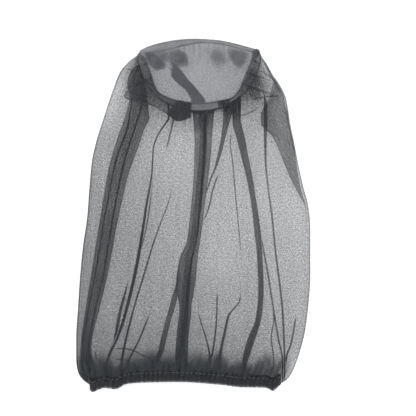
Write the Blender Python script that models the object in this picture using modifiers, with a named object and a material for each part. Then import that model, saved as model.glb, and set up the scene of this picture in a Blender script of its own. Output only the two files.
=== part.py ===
"""A beekeeping head veil: a light cloth crown on a short band, a wide gathered tube of fine net
and an elastic neck hem.  It lies on its back on a table, crown towards +Y, as it does after use.

Units are metres and +Z is up.  The origin is the middle of the outline's box, on the table.
Every piece of cloth is a sheet of even thickness, a little thicker than the real cloth, so that
each one is a closed solid.  Neighbours keep a small gap where the real seam joins them.
"""

import math

import bmesh
import bpy
from mathutils import Vector

# Driving dimensions
VEIL_WIDTH = 0.360
VEIL_LENGTH = 0.540
NET_THICK = 0.0010
CLOTH_THICK = 0.0008
PLY_THICK = 0.0008
SEAM_GAP = 0.0005

# How finely the round pieces are cut.
CROWN_SPOKES = 48
HEM_SEGMENTS = 72

# The crown's rim seen from above is half of a shallow ellipse behind and half of a deep one in front.
CROWN_X = 0.010
CROWN_HALF_WIDTH = 0.090
CROWN_Y = VEIL_LENGTH / 2 - 0.0225
CROWN_BACK_DEPTH = 0.0225
CROWN_FRONT_DEPTH = 0.075
CROWN_Z_BACK = 0.0085
CROWN_Z_SIDE = 0.0125
CROWN_Z_FRONT = 0.0330
CROWN_Z_MIDDLE = 0.0345

# The lower edge of the band, where the net begins.
BAND_Y = CROWN_Y - 0.004
BAND_HALF_WIDTH = 0.093
BAND_BACK_DEPTH = 0.0090
BAND_FRONT_DEPTH = 0.088
BAND_Z_BACK = 0.0022
BAND_Z_SIDE = 0.0058
BAND_Z_FRONT = 0.0255
BAND_CLEARANCE = 0.0018

# The flared heading of doubled net round the crown, open at the centre front.
HEADING_X = 0.0150
HEADING_Y = 0.2020
HEADING_HALF_WIDTH = 0.1200
HEADING_HALF_DEPTH = 0.0530
HEADING_GAP = (math.radians(264), math.radians(289))
HEADING_THICK = 0.0012
HEADING_OFF_BAND = 0.0036

# The neck hem: a folded casing with the elastic inside it, lying as a flat loop.
HEM_LEFT = -0.158
HEM_RIGHT = 0.136
HEM_DEPTH = 0.0180
HEM_ARCH = 0.0100
HEM_GAP = 0.0080
CASING_SPACE = 0.0026
ELASTIC_WIDTH = 0.0080
ELASTIC_MIDDLE = 0.0085
JOIN_X = 0.0600
ELASTIC_THICK = 0.0008
CASING_THICK = 2 * PLY_THICK + CASING_SPACE
LOOP_RADIUS = (HEM_GAP + CASING_THICK) / 2
LOOP_Z = CASING_THICK + HEM_GAP / 2

SEAM_TAPE_WIDTH = 0.0150
SEAM_TAPE_THICK = 0.0012
THREAD_RADIUS = 0.0004
FINE_THREAD_RADIUS = 0.00015

# Height of the front net along its middle, from the band down to the hem, as (y, z).
RIDGE = (
    (-0.2520, 2 * LOOP_Z - PLY_THICK / 2),
    (-0.2150, 0.0180),
    (-0.1200, 0.0250),
    (0.0500, 0.0280),
    (0.1550, BAND_Z_FRONT),
    (0.2500, BAND_Z_SIDE),
)
SIDE_Z = NET_THICK + SEAM_GAP + NET_THICK / 2

# The two sides of the outline, from the hem up to the crown's corners, as (y, x).
LEFT_SIDE = (
    (-0.2700, -0.1480),
    (-0.2620, -0.1600),
    (-0.2430, -0.1765),
    (-0.2165, -VEIL_WIDTH / 2),
    (-0.0956, -0.1720),
    (0.0360, -0.1580),
    (0.1155, -0.1460),
    (0.1700, -0.1280),
    (0.2226, -0.1080),
    (CROWN_Y, CROWN_X - CROWN_HALF_WIDTH - 0.003),
)
RIGHT_SIDE = (
    (-0.2700, 0.1240),
    (-0.2620, 0.1350),
    (-0.2430, 0.1490),
    (-0.1780, 0.1706),
    (-0.1200, 0.1785),
    (-0.0500, VEIL_WIDTH / 2),
    (0.0115, 0.1767),
    (0.1155, 0.1545),
    (0.1890, 0.1385),
    (0.2257, 0.1165),
    (CROWN_Y, CROWN_X + CROWN_HALF_WIDTH + 0.003),
)

FABRIC = {
    "net": ((0.045, 0.047, 0.052), 0.85),
    "crown_cloth": ((0.30, 0.30, 0.32), 0.60),
    "elastic": ((0.08, 0.08, 0.09), 0.80),
    "thread": ((0.03, 0.03, 0.035), 0.55),
}


# --- small maths -------------------------------------------------------------------------


def mix(a, b, t):
    return a + (b - a) * t


def ease(t):
    t = min(max(t, 0.0), 1.0)
    return t * t * (3 - 2 * t)


def smooth_through(stations, y):
    """The value at y of a smooth curve through (y, value) stations that never overshoots them."""
    y = min(max(y, stations[0][0]), stations[-1][0])
    slopes = [
        (b[1] - a[1]) / (b[0] - a[0]) for a, b in zip(stations, stations[1:], strict=False)
    ]
    tangents = [slopes[0]]
    for before, after in zip(slopes, slopes[1:], strict=False):
        turning = before * after <= 0
        tangents.append(0.0 if turning else 2 * before * after / (before + after))
    tangents.append(slopes[-1])
    for i, ((y0, v0), (y1, v1)) in enumerate(zip(stations, stations[1:], strict=False)):
        if y <= y1:
            break
    h = y1 - y0
    t = (y - y0) / h
    start = (1 + 2 * t) * (1 - t) ** 2 * v0 + t * (1 - t) ** 2 * h * tangents[i]
    end = t * t * (3 - 2 * t) * v1 + t * t * (t - 1) * h * tangents[i + 1]
    return start + end


def half_ellipses(angle, centre, half_width, back_depth, front_depth):
    """A point of a closed curve that is one ellipse behind its widest line and another in front."""
    depth = back_depth if math.sin(angle) > 0 else front_depth
    return centre[0] + half_width * math.cos(angle), centre[1] + depth * math.sin(angle)


def height_round(angle, side, back, front):
    """Height of a ring that is at side, back and front heights at those points of it."""
    rise = abs(math.sin(angle)) ** 1.3
    return mix(side, back if math.sin(angle) > 0 else front, rise)


# --- the shapes that the pieces share ----------------------------------------------------


def crown_rim(angle):
    x, y = half_ellipses(
        angle, (CROWN_X, CROWN_Y), CROWN_HALF_WIDTH, CROWN_BACK_DEPTH, CROWN_FRONT_DEPTH
    )
    return x, y, height_round(angle, CROWN_Z_SIDE, CROWN_Z_BACK, CROWN_Z_FRONT)


def crown_surface(radius, angle):
    """The top of the crown: its rim, drawn in to a raised middle and lightly rumpled."""
    x, y, z = crown_rim(angle)
    middle_y = CROWN_Y - 0.026
    rumple = 0.0012 * math.sin(3 * angle + 0.6) * radius * (1 - radius) * 4
    z = mix(CROWN_Z_MIDDLE, z, radius**2) + rumple
    return mix(CROWN_X, x, radius), mix(middle_y, y, radius), z


def band_edge(angle, outside=0.0):
    x, y = half_ellipses(
        angle,
        (CROWN_X, BAND_Y),
        BAND_HALF_WIDTH + outside,
        BAND_BACK_DEPTH + outside,
        BAND_FRONT_DEPTH + outside,
    )
    return x, y, height_round(angle, BAND_Z_SIDE, BAND_Z_BACK, BAND_Z_FRONT)


def band_surface(drop, angle):
    """The band between the crown's rim, drop 0, and its lower edge, drop 1."""
    x0, y0, z0 = crown_rim(angle)
    x1, y1, z1 = band_edge(angle)
    z0 -= CLOTH_THICK * 1.5 + SEAM_GAP
    return mix(x0, x1, drop), mix(y0, y1, drop), mix(z0, z1, drop**0.6)


def off_surface(surface, a, b, distance):
    """The point of surface(a, b), moved off it by distance along its normal."""
    step = 1e-3
    here = Vector(surface(a, b))
    along = Vector(surface(a + step, b)) - Vector(surface(a - step, b))
    around = Vector(surface(a, b + step)) - Vector(surface(a, b - step))
    return here + along.cross(around).normalized() * distance


def front_height(x, y):
    """The middle of the front net's thickness above a point of the table."""
    left = smooth_through(LEFT_SIDE, y)
    right = smooth_through(RIGHT_SIDE, y)
    across = (2 * x - left - right) / (right - left)
    across = min(abs(across), 1.0)
    squareness = mix(9.0, 2.8, ease((y + 0.25) / 0.10))
    dome = mix(smooth_through(RIDGE, y), SIDE_Z, across**squareness)
    ring_x = (x - CROWN_X) / (BAND_HALF_WIDTH + BAND_CLEARANCE)
    ring_y = (y - BAND_Y) / (BAND_FRONT_DEPTH + BAND_CLEARANCE)
    from_band = math.hypot(ring_x, ring_y)
    at_band = band_edge(math.atan2(min(ring_y, 0.0), ring_x))[2]
    return mix(at_band, dome, ease((from_band - 1.0) / 0.55))


def hem_line(x):
    """The lower edge of the hem, a shallow arch whose ends are the outline's lowest points."""
    across = (2 * x - HEM_LEFT - HEM_RIGHT) / (HEM_RIGHT - HEM_LEFT)
    return -VEIL_LENGTH / 2 + HEM_ARCH * (1 - min(across * across, 1.0))


def hem_loop(share):
    """(x, z, outward x, outward z) on the middle line of the flattened hem loop."""
    straight = HEM_RIGHT - HEM_LEFT - 2 * LOOP_RADIUS - CASING_THICK
    turn = math.pi * LOOP_RADIUS
    left = HEM_LEFT + LOOP_RADIUS + CASING_THICK / 2
    along = (share % 1.0) * 2 * (straight + turn)
    if along < straight:
        return left + along, LOOP_Z + LOOP_RADIUS, 0.0, 1.0
    along -= straight
    if along < turn:
        a = math.pi / 2 - along / LOOP_RADIUS
        outward = (math.cos(a), math.sin(a))
        x, z = left + straight + LOOP_RADIUS * outward[0], LOOP_Z + LOOP_RADIUS * outward[1]
        return x, z, *outward
    along -= turn
    if along < straight:
        return left + straight - along, LOOP_Z - LOOP_RADIUS, 0.0, -1.0
    a = -math.pi / 2 - (along - straight) / LOOP_RADIUS
    outward = (math.cos(a), math.sin(a))
    return left + LOOP_RADIUS * outward[0], LOOP_Z + LOOP_RADIUS * outward[1], *outward


# --- building blocks ---------------------------------------------------------------------


def cloth_material(name):
    colour, roughness = FABRIC[name]
    material = bpy.data.materials.new(name)
    material.use_nodes = True
    shader = material.node_tree.nodes["Principled BSDF"]
    shader.inputs["Base Color"].default_value = (*colour, 1.0)
    shader.inputs["Roughness"].default_value = roughness
    return material


def add_object(name, data, material):
    obj = bpy.data.objects.new(name, data)
    obj.data.materials.append(material)
    veil.objects.link(obj)
    return obj


def thicken(obj, thickness, offset=0.0):
    """A sheet made solid.  Offset 0 keeps the sheet in the middle, and -1 makes it the top face."""
    solid = obj.modifiers.new("thickness", "SOLIDIFY")
    solid.thickness = thickness
    solid.offset = offset
    solid.use_even_offset = False
    return obj


def draped_grid(name, columns, rows, place, material, thickness):
    """A flat grid whose points (u, v), each from 0 to 1, go to place(u, v)."""
    bm = bmesh.new()
    bmesh.ops.create_grid(bm, x_segments=columns, y_segments=rows, size=0.5)
    for vertex in bm.verts:
        vertex.co = place(vertex.co.x + 0.5, vertex.co.y + 0.5)
    mesh = bpy.data.meshes.new(name)
    bm.to_mesh(mesh)
    bm.free()
    mesh.shade_smooth()
    return thicken(add_object(name, mesh, material), thickness)


def draped_ring(name, segments, rings, place, material, thickness):
    """An open tube whose points (drop from 0 to 1, angle) go to place(drop, angle)."""
    bm = bmesh.new()
    bmesh.ops.create_cone(
        bm, cap_ends=False, segments=segments, radius1=1.0, radius2=1.0, depth=1.0
    )
    uprights = [e for e in bm.edges if abs(e.verts[0].co.z - e.verts[1].co.z) > 0.5]
    bmesh.ops.subdivide_edges(bm, edges=uprights, cuts=rings - 1, use_grid_fill=True)
    for vertex in bm.verts:
        angle = math.atan2(vertex.co.y, vertex.co.x)
        vertex.co = place(0.5 - vertex.co.z, angle)
    mesh = bpy.data.meshes.new(name)
    bm.to_mesh(mesh)
    bm.free()
    mesh.shade_smooth()
    return thicken(add_object(name, mesh, material), thickness)


def flat_outline(name, points, z_low, thickness, material):
    """A flat plate with the outline of points, from z_low up."""
    curve = bpy.data.curves.new(name, "CURVE")
    curve.dimensions = "2D"
    curve.fill_mode = "BOTH"
    curve.extrude = thickness / 2
    spline = curve.splines.new("POLY")
    spline.points.add(len(points) - 1)
    for point, (x, y) in zip(spline.points, points, strict=True):
        point.co = (x, y, 0.0, 1.0)
    spline.use_cyclic_u = True
    obj = add_object(name, curve, material)
    obj.location.z = z_low + thickness / 2
    return obj


def thread_along(name, points, material, closed=True):
    """A line of stitching as one thread."""
    curve = bpy.data.curves.new(name, "CURVE")
    curve.dimensions = "3D"
    curve.bevel_depth = THREAD_RADIUS
    curve.bevel_resolution = 1
    curve.use_fill_caps = True
    spline = curve.splines.new("POLY")
    spline.points.add(len(points) - 1)
    for point, place in zip(spline.points, points, strict=True):
        point.co = (*place, 1.0)
    spline.use_cyclic_u = closed
    return add_object(name, curve, material)


# --- the pieces --------------------------------------------------------------------------


def make_crown_panel():
    """The round top of light cloth.  It starts as a disc spun from a spoke."""
    rings = 6
    bm = bmesh.new()
    bmesh.ops.create_circle(bm, cap_ends=True, cap_tris=True, segments=CROWN_SPOKES, radius=1.0)
    spoke_edges = [e for e in bm.edges if min(v.co.length for v in e.verts) < 0.5]
    bmesh.ops.subdivide_edges(bm, edges=spoke_edges, cuts=rings - 1, use_grid_fill=False)
    for vertex in bm.verts:
        angle = math.atan2(vertex.co.y, vertex.co.x)
        vertex.co = crown_surface(vertex.co.length, angle)
    mesh = bpy.data.meshes.new("crown_panel")
    bm.to_mesh(mesh)
    bm.free()
    mesh.shade_smooth()
    panel = add_object("crown_panel", mesh, materials["crown_cloth"])
    return thicken(panel, CLOTH_THICK, offset=-1.0)


def make_crown_band():
    """The strip of crown cloth that stands between the crown's rim and the net."""
    cloth = materials["crown_cloth"]
    return draped_ring("crown_band", CROWN_SPOKES, 3, band_surface, cloth, CLOTH_THICK)


def make_crown_overlock():
    """The overlocked seam edge under the crown's rim, wound with thread."""
    inner, outer = 0.90, 0.965

    def place(drop, angle):
        x, y, z = crown_surface(mix(outer, inner, drop), angle)
        return x, y, z - CLOTH_THICK * 2.5 - SEAM_GAP

    thread = materials["thread"]
    return draped_ring("crown_overlock", CROWN_SPOKES, 1, place, thread, CLOTH_THICK)


def make_crown_stitching():
    """The topstitch that lies on the crown just inside its rim."""
    inset = 0.975
    off = THREAD_RADIUS + SEAM_GAP
    points = [
        off_surface(crown_surface, inset, 2 * math.pi * i / CROWN_SPOKES, off)
        for i in range(CROWN_SPOKES)
    ]
    return thread_along("crown_stitching", points, materials["thread"])


def net_place(u, v, inset=0.0):
    """(x, y) of the net.  u runs from the left edge to the right and v from the band to the hem."""

    def spread(y):
        left = smooth_through(LEFT_SIDE, y) + inset
        right = smooth_through(RIGHT_SIDE, y) - inset
        return mix(left, right, u)

    top_x, top_y, _ = band_edge(mix(math.pi, 2 * math.pi, u), BAND_CLEARANCE)
    low_y = hem_line(mix(HEM_LEFT, HEM_RIGHT, u)) + HEM_DEPTH + SEAM_GAP
    y = mix(top_y, low_y, v)
    still_at_band = 1 - ease((top_y - y) / 0.20)
    return spread(y) + (top_x - spread(top_y)) * still_at_band, y


def make_net_front():
    """The half of the net tube that lies uppermost, a low dome open below."""

    def place(u, v):
        x, y = net_place(u, 1 - v, inset=0.0008)
        return x, y, front_height(x, y)

    return draped_grid("net_front", 24, 24, place, materials["net"], NET_THICK)


def make_net_back():
    """The half of the net tube that lies on the table."""
    steps = 28
    low, high = -VEIL_LENGTH / 2 + HEM_DEPTH, BAND_Y + BAND_BACK_DEPTH * 0.6
    heights = [mix(low, high, i / steps) for i in range(steps + 1)]

    def side_at(side, y):
        top_narrowing = 0.004 * ease((y - BAND_Y) / (high - BAND_Y))
        x = smooth_through(side, y)
        return x - math.copysign(top_narrowing, x)

    across = [mix(HEM_RIGHT, HEM_LEFT, i / 12) for i in range(1, 12)]
    hem_top = [(x, hem_line(x) + HEM_DEPTH + SEAM_GAP) for x in across]
    left = [(side_at(LEFT_SIDE, y), y) for y in heights if y > low + 0.004]
    right = [(side_at(RIGHT_SIDE, y), y) for y in reversed(heights) if y > low + 0.004]
    corner_left = (HEM_LEFT - 0.004, low + 0.004)
    corner_right = (HEM_RIGHT + 0.004, low + 0.004)
    outline = [corner_left, *left, *right, corner_right, *hem_top]
    return flat_outline("net_back", outline, 0.0, NET_THICK, materials["net"])


def heading_edge(angle):
    return (
        HEADING_X + HEADING_HALF_WIDTH * math.cos(angle),
        HEADING_Y + HEADING_HALF_DEPTH * math.sin(angle),
    )


def make_net_heading():
    """The doubled, gathered top edge of the net, which flares out round the crown's front."""
    start, end = math.radians(165), math.radians(375)

    def place_on(low, high):
        def place(u, v):
            angle = mix(low, high, u)
            x0, y0, z0 = band_surface(0.25, angle)
            x1, y1 = heading_edge(angle)
            out = (math.cos(angle) * HEADING_OFF_BAND, math.sin(angle) * HEADING_OFF_BAND)
            x, y = mix(x0 + out[0], x1, v), mix(y0 + out[1], y1, v)
            clear = HEADING_THICK / 2 + NET_THICK / 2 + CLOTH_THICK
            z = mix(z0 + 0.0016, front_height(x1, y1) + clear, v)
            over_net = front_height(x, y) + clear + 0.0014
            return x, y, max(z, over_net if y < BAND_Y else 0.0)

        return place

    for name, low, high in (
        ("net_heading_left", start, HEADING_GAP[0]),
        ("net_heading_right", HEADING_GAP[1], end),
    ):
        draped_grid(name, 18, 4, place_on(low, high), materials["net"], HEADING_THICK)


def make_centre_seam():
    """The seam allowance that closes the net tube, a flat strip under the front net, and its thread."""
    x_top, x_low = 0.018, -0.020

    def centre(v):
        _, y = net_place(0.5, v)
        return mix(x_top, x_low, ease(v)), y - 0.004 * (0.5 - v)

    def place(u, v):
        x, y = centre(1 - v)
        x += (u - 0.5) * SEAM_TAPE_WIDTH
        under = NET_THICK / 2 + SEAM_TAPE_THICK / 2 + SEAM_GAP + 0.0006
        return x, y, front_height(x, y) - under

    draped_grid("centre_seam", 2, 24, place, materials["net"], SEAM_TAPE_THICK)
    points = []
    for i in range(25):
        x, y = centre(i / 24)
        points.append((x, y, front_height(x, y) + NET_THICK / 2 + THREAD_RADIUS + 0.0005))
    thread_along("centre_seam_thread", points, materials["thread"], closed=False)


def make_band_stitching():
    """The seam thread round the band near its lower edge, on its outer face."""
    drop = 0.80
    off = CLOTH_THICK / 2 + THREAD_RADIUS + SEAM_GAP
    points = [
        off_surface(band_surface, drop, 2 * math.pi * i / CROWN_SPOKES, off)
        for i in range(CROWN_SPOKES)
    ]
    return thread_along("band_stitching", points, materials["thread"])


def hem_ring(name, section, width_points, material, thickness):
    """A sheet that goes round the hem loop.  section(t) gives (up from the hem line, outward)."""
    bm = bmesh.new()
    bmesh.ops.create_cone(
        bm, cap_ends=False, segments=HEM_SEGMENTS, radius1=1.0, radius2=1.0, depth=1.0
    )
    uprights = [e for e in bm.edges if abs(e.verts[0].co.z - e.verts[1].co.z) > 0.5]
    bmesh.ops.subdivide_edges(
        bm, edges=uprights, cuts=width_points - 1, use_grid_fill=True
    )
    for vertex in bm.verts:
        turn = math.atan2(vertex.co.y, vertex.co.x) / (2 * math.pi) % 1.0
        x, z, out_x, out_z = hem_loop(hem_share(turn))
        up, out = section(0.5 - vertex.co.z)
        vertex.co = (x + out_x * out, hem_line(x) + up, z + out_z * out)
    mesh = bpy.data.meshes.new(name)
    bm.to_mesh(mesh)
    bm.free()
    mesh.shade_smooth()
    return thicken(add_object(name, mesh, material), thickness)


def hem_share(turn):
    """Spreads the ring's points so that the two short bends get a third of them each way."""
    straight = HEM_RIGHT - HEM_LEFT - 2 * LOOP_RADIUS - CASING_THICK
    bend = math.pi * LOOP_RADIUS
    half = (straight + bend) * 2
    in_straight = 0.36
    side, within = divmod(turn * 2, 1.0)
    if within < in_straight:
        along = straight * within / in_straight
    else:
        along = straight + bend * (within - in_straight) / (1 - in_straight)
    return (side * half / 2 + along) / half


def make_hem():
    """The casing is net turned up into a fold, and the elastic runs in the fold."""
    offset = (CASING_SPACE + PLY_THICK) / 2

    def casing(t):
        ply = HEM_DEPTH - offset
        around = t * (2 * ply + math.pi * offset)
        if around < ply:
            return HEM_DEPTH - around, offset
        if around > ply + math.pi * offset:
            return offset + around - ply - math.pi * offset, -offset
        a = (around - ply) / offset
        return offset - offset * math.sin(a) + PLY_THICK / 2, offset * math.cos(a)

    def elastic(t):
        return ELASTIC_MIDDLE + (0.5 - t) * ELASTIC_WIDTH, 0.0

    hem_ring("hem_casing", casing, 8, materials["net"], PLY_THICK)
    hem_ring("hem_elastic", elastic, 1, materials["elastic"], ELASTIC_THICK)
    points = []
    for i in range(HEM_SEGMENTS):
        x, z, out_x, out_z = hem_loop(hem_share(i / HEM_SEGMENTS))
        out = CASING_THICK / 2 + THREAD_RADIUS + SEAM_GAP
        points.append((x - out_x * out, hem_line(x) + HEM_DEPTH - 0.003, z - out_z * out))
    thread_along("hem_stitching", points, materials["thread"])
    make_elastic_join()


def make_elastic_join():
    """The zigzag of thread that closes the elastic into a loop, on its outer face at the back."""
    count, step, reach = 9, 0.0011, 0.0028
    out = ELASTIC_THICK / 2 + FINE_THREAD_RADIUS + 0.0003
    points = []
    for i in range(count):
        x = JOIN_X + (i - (count - 1) / 2) * step
        y = hem_line(x) + ELASTIC_MIDDLE + (reach if i % 2 else -reach)
        points.append((x, y, LOOP_Z - LOOP_RADIUS - out))
    thread = thread_along("elastic_join_thread", points, materials["thread"], closed=False)
    thread.data.bevel_depth = FINE_THREAD_RADIUS


for leftover in list(bpy.data.objects):
    bpy.data.objects.remove(leftover)
veil = bpy.data.collections.new("beekeeping_veil")
bpy.context.scene.collection.children.link(veil)
materials = {name: cloth_material(name) for name in FABRIC}

make_crown_panel()
make_crown_band()
make_crown_overlock()
make_crown_stitching()
make_band_stitching()
make_net_heading()
make_net_front()
make_net_back()
make_centre_seam()
make_hem()
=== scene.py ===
# %% [markdown]
# # A beekeeping veil, laid flat
#
# A veil for working with bees is almost nothing but cloth: a small crown of light fabric, a short
# band round it, and a wide tube of fine dark net gathered between that band and an elastic hem for
# the neck.  Taken off and laid on a table it falls flat on its back, crown away from us.  This
# lesson remakes each sewn piece as a thin sheet, because a sheet is what the maker cut.

import math

import bmesh
import bpy
import numpy as np
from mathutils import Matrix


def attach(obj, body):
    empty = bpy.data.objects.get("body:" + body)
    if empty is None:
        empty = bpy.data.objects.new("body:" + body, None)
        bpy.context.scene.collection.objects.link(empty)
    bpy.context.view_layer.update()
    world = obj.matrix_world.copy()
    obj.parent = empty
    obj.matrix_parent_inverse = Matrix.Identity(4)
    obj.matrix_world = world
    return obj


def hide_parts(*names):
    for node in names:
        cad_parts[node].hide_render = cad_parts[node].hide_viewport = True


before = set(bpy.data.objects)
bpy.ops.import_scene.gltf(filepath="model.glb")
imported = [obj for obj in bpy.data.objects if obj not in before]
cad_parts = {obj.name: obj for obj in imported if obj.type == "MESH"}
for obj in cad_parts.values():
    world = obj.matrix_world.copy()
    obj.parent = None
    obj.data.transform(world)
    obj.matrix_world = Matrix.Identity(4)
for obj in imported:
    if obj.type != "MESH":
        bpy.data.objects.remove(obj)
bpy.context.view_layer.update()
MM = 0.001

# %% [markdown]
# ## The camera and the light
#
# The veil is looked at from straight above.  A long lens keeps the low dome of net from leaning
# outwards.  The room is a plain white one: light from every side, a large soft lamp overhead and
# a pale table, so that the net is read by how much of the table it hides.

# %% Camera, lamp and room
CAMERA_OVER, CAMERA_HEIGHT = (0.0237, 0.0084), 1.600
LENS, SENSOR = 90.0, 36.0
LAMP_SIZE, LAMP_POWER, LAMP_PLACE = (1.6, 1.2), 9.0, (-0.5, 0.9, 1.9)
ROOM_COLOUR = (0.955, 0.985, 1.02, 1.0)
LAYERS_SEEN_THROUGH = 48

scene = bpy.context.scene
scene.view_settings.view_transform = "Standard"
scene.cycles.transparent_max_bounces = LAYERS_SEEN_THROUGH


def placed(name, data, place=(0.0, 0.0, 0.0)):
    """A new object in the scene."""
    obj = bpy.data.objects.new(name, data)
    obj.location = place
    scene.collection.objects.link(obj)
    return obj


camera_data = bpy.data.cameras.new("overhead_camera")
camera_data.lens, camera_data.sensor_width = LENS, SENSOR
scene.camera = placed("overhead_camera", camera_data, (*CAMERA_OVER, CAMERA_HEIGHT))

lamp_data = bpy.data.lights.new("soft_lamp", "AREA")
lamp_data.shape = "RECTANGLE"
lamp_data.size, lamp_data.size_y = LAMP_SIZE
lamp_data.energy = LAMP_POWER
lamp = placed("soft_lamp", lamp_data, LAMP_PLACE)
lamp.rotation_euler = (-lamp.location).to_track_quat("-Z", "Y").to_euler()

scene.world = bpy.data.worlds.new("white_room")
scene.world.use_nodes = True
room = scene.world.node_tree.nodes["Background"]
room.inputs["Color"].default_value = ROOM_COLOUR
room.inputs["Strength"].default_value = 1.0
print("camera at", CAMERA_HEIGHT, "m, view width", round(CAMERA_HEIGHT * SENSOR / LENS, 3), "m")

# %% [markdown]
# ## Sums on sockets
#
# A fabric's finish is mostly arithmetic: how much thread covers each spot, how dark it is, how it
# bumps.  Wiring that by hand hides the idea, so one small class stands for a socket and lets the
# sums be written as sums.  Every other node comes from one method that sets its settings first.


# %% A signal to do sums on, and a finish to collect its nodes
def sum_by(operation, reflected=False):
    """A method that joins a signal and another value by one Math node."""

    def method(self, other=0.0):
        first, second = (other, self) if reflected else (self, other)
        return self.finish.node("ShaderNodeMath", {"operation": operation}, {0: first, 1: second})

    return method


class Signal:
    """One number that may change over a surface."""

    def __init__(self, finish, socket):
        self.finish = finish
        self.socket = socket

    __add__, __radd__ = sum_by("ADD"), sum_by("ADD", reflected=True)
    __sub__, __rsub__ = sum_by("SUBTRACT"), sum_by("SUBTRACT", reflected=True)
    __mul__, __rmul__ = sum_by("MULTIPLY"), sum_by("MULTIPLY", reflected=True)
    __truediv__, __rtruediv__ = sum_by("DIVIDE"), sum_by("DIVIDE", reflected=True)
    __rpow__ = sum_by("POWER", reflected=True)
    __abs__, sine = sum_by("ABSOLUTE"), sum_by("SINE")
    at_least, at_most = sum_by("MAXIMUM"), sum_by("MINIMUM")


class Finish:
    """A material that grows as its nodes are asked for."""

    def __init__(self, name):
        self.material = bpy.data.materials.new(name)
        self.material.use_nodes = True
        self.tree = self.material.node_tree
        self.tree.nodes.clear()

    def node(self, kind, settings, sockets, out=0):
        made = self.tree.nodes.new(kind)
        for name, value in settings.items():
            setattr(made, name, value)
        for name, value in sockets.items():
            if isinstance(value, Signal):
                self.tree.links.new(value.socket, made.inputs[name])
            else:
                made.inputs[name].default_value = value
        return Signal(self, made.outputs[out])

    def attribute(self, name):
        settings = {"attribute_type": "GEOMETRY", "attribute_name": name}
        return self.node("ShaderNodeAttribute", settings, {}, out="Fac")

    def cloth_place(self):
        """Where a spot lies on the flat cloth in metres, whole and as its two numbers."""
        place = self.node("ShaderNodeUVMap", {"uv_map": "cloth"}, {})
        parts = [self.node("ShaderNodeSeparateXYZ", {}, {0: place}, out=axis) for axis in "XY"]
        return place, *parts

    def clouds(self, place, along, across, detail=2.0):
        """Soft noise with this many clouds a metre each way."""
        scale = {0: place, 1: (along, across, 1.0)}
        stretched = self.node("ShaderNodeVectorMath", {"operation": "MULTIPLY"}, scale)
        sockets = {"Vector": stretched, "Scale": 1.0, "Detail": detail}
        return self.node("ShaderNodeTexNoise", {}, sockets)

    def between(self, factor, first, second):
        sockets = {0: factor, 6: (*first, 1.0), 7: (*second, 1.0)}
        return self.node("ShaderNodeMix", {"data_type": "RGBA"}, sockets, out=2)

    def bump(self, height, distance):
        sockets = {"Height": height, "Distance": distance, "Strength": 0.6}
        return self.node("ShaderNodeBump", {}, sockets)

    def surface(self, sockets):
        shader = self.node("ShaderNodeBsdfPrincipled", {}, sockets)
        output = self.tree.nodes.new("ShaderNodeOutputMaterial")
        self.tree.links.new(shader.socket, output.inputs["Surface"])
        return self.material


# %% The table
table_material = Finish("pale_table").surface(
    {
        "Base Color": (0.72, 0.72, 0.72, 1.0),
        "Roughness": 0.9,
        "Emission Color": (1.0, 1.0, 1.0, 1.0),
        "Emission Strength": 0.50,
    }
)
bpy.ops.mesh.primitive_plane_add(size=8.0, location=(0.0, 0.0, -0.0005))
table = bpy.context.object
table.name = "table"
table.data.materials.append(table_material)

# %% [markdown]
# ## The net's finish
#
# The net is a black knitted tulle of fine thread, with holes of about two millimetres.  From arm's
# length the holes aren't seen one by one, only as a grey that deepens wherever the net is doubled
# or gathered.  So the finish works out how much thread lies in the way: a lattice of threads,
# streaks along the grain where it bunches, and a number carried by the mesh that says how closely
# the net is gathered there.  What stays open is a power of the share that one layer lets through.
# Where the net is gathered or folded its thread's colour is made darker as well, which is painted
# shade.

# %% Net, doubled net and hem finishes
OPEN_SHARE = 0.685
NET_PITCH = 0.0021
THREAD_SHARE = 0.30
COURSE_PITCH = 0.0034


def lattice(along, across):
    """Two families of slanting threads that cross, 1 on a thread and 0 in a hole."""
    turn = math.pi / NET_PITCH
    rising = 1 - abs(((along + across * 0.6) * turn).sine()) / THREAD_SHARE
    falling = 1 - abs(((along - across * 0.6) * turn).sine()) / THREAD_SHARE
    return rising.at_least(0.0).at_least(falling)


def net_finish(name, thread_dark, thread_light, sheen=0.12):
    finish = Finish(name)
    place, along, down = finish.cloth_place()
    threads = lattice(along, down)
    bunching, gather = finish.attribute("bunching"), finish.attribute("gather")
    streaks = finish.clouds(place, 420.0, 14.0, 3.0)
    broad = finish.clouds(place, 90.0, 7.0)
    grain = finish.clouds(place, 430.0, 480.0)
    fuzz = finish.clouds(place, 700.0, 700.0)
    courses = (down * (2 * math.pi / COURSE_PITCH) + broad * 14.0).sine()
    uneven = 1 + (streaks - 0.5) * (0.35 + gather * 1.7) + (broad - 0.5) * 0.6
    knit = 0.5 + gather * 0.34 + threads * (2.6 - gather * 1.8)
    woven_part = bunching * knit * (uneven + courses * 0.10).at_least(0.25)
    cover = woven_part + (grain - 0.5) * (4.0 - gather * 3.4)
    return finish.surface(
        {
            # The colour is the random fuzz made darker where gather is high: painted shade deep in
            # the gathers and folds.
            "Base Color": finish.between(fuzz * (1 - gather * 0.7), thread_dark, thread_light),
            "Roughness": 0.75,
            "Sheen Weight": sheen,
            "Alpha": 1 - OPEN_SHARE ** cover.at_least(woven_part * 0.3),
            "Normal": finish.bump(threads + fuzz * 0.3, 0.0002),
        }
    )


net_material = net_finish("net", (0.010, 0.0125, 0.016), (0.030, 0.034, 0.041))
heading_material = net_finish("doubled_net", (0.011, 0.013, 0.016), (0.034, 0.038, 0.044))
# The hem's net is the same tulle with darker thread and less sheen: painted shade in the dense
# casing.
shaded_hem_material = net_finish("shaded_hem_net", (0.006, 0.007, 0.009), (0.020, 0.022, 0.026), 0.05)
print("net: pitch", NET_PITCH, "open share of one layer", OPEN_SHARE)

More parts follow.
